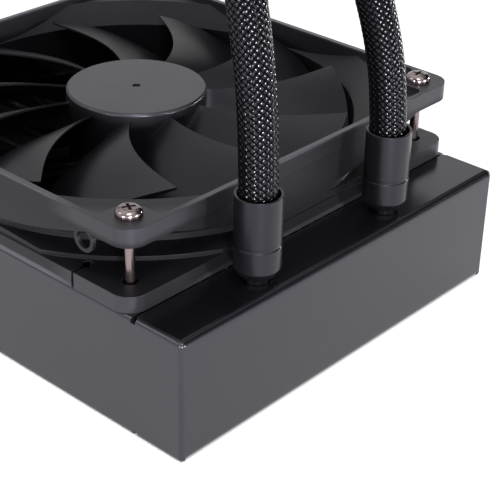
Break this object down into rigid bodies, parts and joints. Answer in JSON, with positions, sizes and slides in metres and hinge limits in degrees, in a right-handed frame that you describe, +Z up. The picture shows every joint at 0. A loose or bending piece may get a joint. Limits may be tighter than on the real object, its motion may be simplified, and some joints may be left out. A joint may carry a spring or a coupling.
{
  "type": "all in one cpu liquid cooler",
  "caption": "Closed-loop processor liquid cooler: slim radiator with an axial fan, sleeved hoses arching to a round pump block with a flat cold plate.",
  "frame": {"origin": "middle of the case holes on the radiator's underside, on the fan's axis", "axes": "+X along the radiator towards the tank with the hose fittings, +Y across the radiator, +Z up through the fan"},
  "size_m": [0.263, 0.14, 0.189],
  "materials": {
    "radiator_paint": "satin black powder coat",
    "core_paint": "matt black paint on thin aluminium",
    "fan_frame_plastic": "moulded, fine satin texture",
    "fan_blade_plastic": "moulded, satin",
    "nickel_screws": "bright nickel plate",
    "collar_plastic": "turned look, satin black",
    "hose_sleeve": "braided nylon sleeve over rubber",
    "fitting_metal": "black anodised look",
    "pump_plastic": "moulded, satin black",
    "copper": "milled copper",
    "winding_copper": "enamelled copper wire",
    "steel": "plain steel",
    "bearing_brass": "sintered bronze",
    "magnet": "pressed ferrite",
    "board": "green solder mask",
    "seal_rubber": "moulded rubber",
    "impeller_plastic": "moulded, natural white",
    "bracket_steel": "black painted steel"
  },
  "bodies": {
    "root": {"bearing_sleeve": "bearing_brass", "cold_plate": "copper", "core_fins": "core_paint", "core_tubes": "core_paint", "fan_board": "board", "fan_frame": "fan_frame_plastic", "fan_screws": "nickel_screws", "fan_stator_core": "steel", "fan_stator_windings": "winding_copper", "front_header": "radiator_paint", "front_tank": "radiator_paint", "hose_left": "hose_sleeve", "hose_right": "hose_sleeve", "impeller_pin": "steel", "mount_bracket": "bracket_steel", "plate_screws": "nickel_screws", "plate_seal": "seal_rubber", "pump_board": "board", "pump_cap": "pump_plastic", "pump_collar_left": "collar_plastic", "pump_collar_right": "collar_plastic", "pump_fitting_left": "fitting_metal", "pump_fitting_right": "fitting_metal", "pump_housing": "pump_plastic", "pump_stator_core": "steel", "pump_stator_windings": "winding_copper", "radiator_collar_left": "collar_plastic", "radiator_collar_right": "collar_plastic", "radiator_fitting_left": "fitting_metal", "radiator_fitting_right": "fitting_metal", "rear_header": "radiator_paint", "rear_tank": "radiator_paint", "side_plate_left": "radiator_paint", "side_plate_right": "radiator_paint", "tank_divider": "radiator_paint"},
    "rotor": {"fan_rotor": "fan_blade_plastic", "rotor_yoke": "steel", "rotor_magnet": "magnet", "rotor_shaft": "steel", "shaft_clip": "steel"},
    "impeller": {"pump_impeller": "impeller_plastic", "impeller_magnet": "magnet"}
  },
  "joints": [
    {"name": "fan_spin", "type": "hinge", "parent": "root", "child": "rotor", "pos_m": [0, 0, 0.05], "axis": [0, 0, 1], "continuous": true},
    {"name": "impeller_spin", "type": "hinge", "parent": "root", "child": "impeller", "pos_m": [-0.132, -0.0032, 0.015], "axis": [0, 0, 1], "continuous": true}
  ]
}
